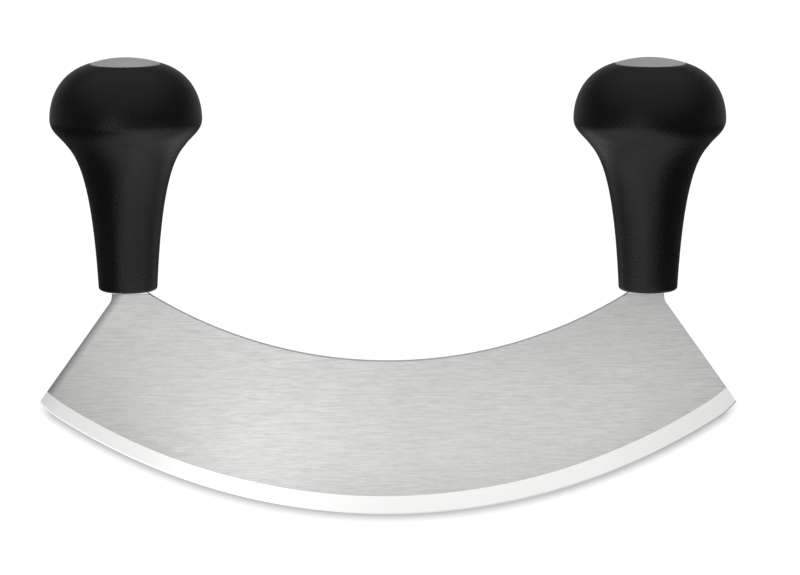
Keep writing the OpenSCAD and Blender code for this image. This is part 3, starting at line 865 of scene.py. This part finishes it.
class MEZZALUNA_OT_inner_parts(Operator):
    """Inner parts: the hard cores and the plated fasteners keep their CAD shapes"""

    bl_idname = "mezzaluna.inner_parts"
    bl_label = "Cores and fasteners"

    def execute(self, context):
        nylon = core_plastic(context.scene.mezzaluna_grips)
        zinc = plated_steel()
        finishes = {"core": nylon, "stud": zinc, "washer": zinc, "spring_washer": zinc,
                    "nut": zinc}
        for side in SIDES:
            for kind, material in finishes.items():
                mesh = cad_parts[f"{side}_{kind}"].data
                mesh.materials.clear()
                mesh.materials.append(material)
        return {"FINISHED"}


def graded(tree, value, stops):
    """Grades a value through levels, which are listed with the values that they belong to."""
    low, high = stops[0][0], stops[-1][0]
    share = add(tree, "MapRange", {"Value": value, "From Min": low, "From Max": high})
    ramp = add(tree, "ValToRGB", {"Fac": share.outputs["Result"]})
    elements = ramp.color_ramp.elements
    for place, level in stops:
        at = (place - low) / (high - low)
        element = elements[0] if at == 0 else elements[-1] if at == 1 else elements.new(at)
        element.color = (level, level, level, 1)
    return ramp.outputs["Color"]


def table_light(tree):
    """Painted light that the glowing table sends up: pools of light round the blade that fade with
    distance.
    """
    place = add(tree, "SeparateXYZ", {"Vector": add(tree, "TexCoord").outputs["Object"]}).outputs
    lit = 0
    for across, away in POOLS:
        levels = {0: graded(tree, place["X"], across), 1: graded(tree, place["Y"], away)}
        pool = add(tree, "Math", levels, operation="MULTIPLY").outputs["Value"]
        lit = add(tree, "Math", {0: pool, 1: lit}, operation="ADD").outputs["Value"]
    lit = add(tree, "Math", {0: lit, 1: TABLE_PEAK}, operation="MULTIPLY").outputs["Value"]
    return add(tree, "Math", {0: lit, 1: TABLE_LEAST}, operation="MAXIMUM").outputs["Value"]


def glowing_table():
    """White laminate that glows with painted pools of light, seen only in what the piece reflects.
    """
    material, tree = empty_material("laminate_white_painted_light")
    glow = add(tree, "Emission", {"Strength": table_light(tree)})
    add(tree, "OutputMaterial", {"Surface": glow.outputs["Emission"]})
    return material


def sheet_paper(stage):
    """White photographic paper that glows. The camera sees plain white with a painted shade close
    to what stands on it, in place of the shadow under even studio light, and everything else sees
    the light of the table."""
    material, tree = empty_material("paper_photographic_white")
    near = add(tree, "AmbientOcclusion", {"Distance": SHADE_REACH}, samples=8).outputs["AO"]
    shade = add(tree, "MapRange", {"Value": near, "From Min": SHADE_START, "From Max": 1.0,
                                   "To Min": SHADE_DARKEST, "To Max": WHITE}).outputs["Result"]
    # The shade ends at the tips
    place = add(tree, "SeparateXYZ", {"Vector": add(tree, "TexCoord").outputs["Object"]}).outputs
    reach = add(tree, "Math", {0: place["X"]}, operation="ABSOLUTE").outputs["Value"]
    tip_x = CAD_BOX[1].x
    beyond = add(tree, "MapRange", {"Value": reach, "From Min": tip_x - SHADE_END_IN,
                                    "From Max": tip_x + SHADE_END_OUT}).outputs["Result"]
    seen = add(tree, "Mix", {"Factor": beyond, NUMBER_A: shade, NUMBER_B: WHITE},
               data_type="FLOAT").outputs[NUMBER_OUT]
    by_camera = add(tree, "LightPath").outputs["Is Camera Ray"]
    strength = add(tree, "Mix", {"Factor": by_camera, NUMBER_A: table_light(tree),
                                 NUMBER_B: seen}, data_type="FLOAT").outputs[NUMBER_OUT]
    paper = add(tree, "Emission", {"Color": rgba(stage.paper), "Strength": strength})
    # From below, the sheet is see-through, so that it hides nothing from a low viewpoint
    both = add(tree, "MixShader", {0: add(tree, "NewGeometry").outputs["Backfacing"],
                                   1: paper.outputs["Emission"],
                                   2: add(tree, "BsdfTransparent").outputs["BSDF"]})
    add(tree, "OutputMaterial", {"Surface": both.outputs["Shader"]})
    return material


def bent_sheet(radius):
    """A sheet bent to the cutting edge's arc, with its faces turned up."""
    bm = bmesh.new()
    start = bm.verts.new((-radius * math.sin(SHEET_HALF_TURN), -SHEET_DEPTH,
                          radius * (1 - math.cos(SHEET_HALF_TURN))))
    swing(bm, start, (0, -SHEET_DEPTH, radius), 2 * SHEET_HALF_TURN, SHEET_STEPS)
    made = bmesh.ops.extrude_edge_only(bm, edges=bm.edges[:])["geom"]
    bmesh.ops.translate(bm, verts=made_verts(made), vec=(0, 2 * SHEET_DEPTH, 0))
    for face in bm.faces:
        face.normal_update()
        if face.normal.z < 0:
            face.normal_flip()
        face.smooth = True
    return bm


def studio_sky():
    """World: plain white for the camera, and a soft sky for everything else."""
    world = bpy.data.worlds.new("studio")
    world.use_nodes = True
    tree = world.node_tree
    tree.nodes.clear()
    white = rgba((1, 1, 1))
    seen = add(tree, "Background", {"Color": white, "Strength": WHITE})
    overhead = add(tree, "VectorMath", {0: add(tree, "TexCoord").outputs["Generated"],
                                        1: (0, -math.sin(SKY_LEAN), math.cos(SKY_LEAN))},
                   operation="DOT_PRODUCT").outputs["Value"]
    lit = add(tree, "Background", {"Color": white, "Strength": graded(tree, overhead, SKY)})
    pick = add(tree, "MixShader", {0: add(tree, "LightPath").outputs["Is Camera Ray"],
                                   1: lit.outputs["Background"],
                                   2: seen.outputs["Background"]})
    add(tree, "OutputWorld", {"Surface": pick.outputs["Shader"]})
    return world


def softbox(name, place, size, watts):
    """A square studio lamp aimed at the blade."""
    lamp = bpy.data.lights.new(name, "AREA")
    lamp.shape, lamp.size, lamp.energy = "SQUARE", size, watts
    holder = new_object(name, lamp)
    holder.location = place
    aim = Vector(LAMP_AIM) - Vector(place)
    holder.rotation_euler = aim.to_track_quat("-Z", "Y").to_euler()
    holder.visible_camera = False


def fitted_camera():
    """A camera that looks down at the blade from before its front face."""
    camera = bpy.data.cameras.new("camera")
    camera.lens, camera.sensor_width = CAMERA_LENS, CAMERA_SENSOR
    back = Vector((0, -math.cos(CAMERA_ELEVATION), math.sin(CAMERA_ELEVATION)))
    right = Vector((1, 0, 0))
    up = Vector((0, math.sin(CAMERA_ELEVATION), math.cos(CAMERA_ELEVATION)))
    rolled_right = right * math.cos(CAMERA_ROLL) + up * math.sin(CAMERA_ROLL)
    rolled_up = up * math.cos(CAMERA_ROLL) - right * math.sin(CAMERA_ROLL)
    pose = Matrix((rolled_right, rolled_up, back)).transposed().to_4x4()
    pose.translation = Vector(CAMERA_TARGET) + back * CAMERA_DISTANCE
    holder = new_object("camera", camera)
    holder.matrix_world = pose
    return holder


class MEZZALUNA_OT_stage(Operator):
    """Stage: a pale sheet bent to the edge's arc, a table glowing with painted light, softboxes and
    the camera
    """

    bl_idname = "mezzaluna.stage"
    bl_label = "Stage"

    def execute(self, context):
        scene = context.scene
        paper = sheet_paper(scene.mezzaluna_stage)
        bent = bent_sheet(scene.mezzaluna_blade.edge_radius)
        sheet = new_object("floor_sheet", into_mesh(bent, "floor_sheet", paper))

        bm = bmesh.new()
        bmesh.ops.create_grid(bm, x_segments=1, y_segments=1, size=TABLE_HALF_SIZE,
                              matrix=Matrix.Translation((0, 0, -TABLE_DROP)))
        table = new_object("glowing_table", into_mesh(bm, "glowing_table", glowing_table()))
        table.visible_camera = False

        scene.world = studio_sky()
        for name, (place, size, watts) in LAMPS.items():
            softbox(name, place, size, watts)
        scene.camera = fitted_camera()
        scene.view_settings.view_transform = "Standard"
        return {"FINISHED"}


class MEZZALUNA_PT_sidebar(Panel):
    """Settings and steps of the mezzaluna"""

    bl_label = "Mezzaluna"
    bl_idname = "MEZZALUNA_PT_sidebar"
    bl_space_type = "VIEW_3D"
    bl_region_type = "UI"
    bl_category = "Mezzaluna"

    def draw(self, context):
        for title, group in SETTINGS.items():
            box = self.layout.box()
            box.label(text=group.__doc__)
            settings = getattr(context.scene, title)
            for name in group.__annotations__:
                box.prop(settings, name)
        for operator in OPERATORS:
            self.layout.operator(operator.bl_idname)


SETTINGS = {
    "mezzaluna_blade": BladeSettings,
    "mezzaluna_grips": GripSettings,
    "mezzaluna_stage": StageSettings,
}
OPERATORS = (
    MEZZALUNA_OT_blade,
    MEZZALUNA_OT_grips,
    MEZZALUNA_OT_end_caps,
    MEZZALUNA_OT_inner_parts,
    MEZZALUNA_OT_stage,
)
CLASSES = (*SETTINGS.values(), *OPERATORS, MEZZALUNA_PT_sidebar)


def register():
    for cls in CLASSES:
        bpy.utils.register_class(cls)
    for name, group in SETTINGS.items():
        setattr(bpy.types.Scene, name, PointerProperty(type=group))


def unregister():
    for name in SETTINGS:
        delattr(bpy.types.Scene, name)
    for cls in reversed(CLASSES):
        bpy.utils.unregister_class(cls)


def main():
    register()
    bpy.ops.mezzaluna.blade()
    bpy.ops.mezzaluna.grips()
    bpy.ops.mezzaluna.end_caps()
    bpy.ops.mezzaluna.inner_parts()
    bpy.ops.mezzaluna.stage()


if __name__ == "__main__":
    main()
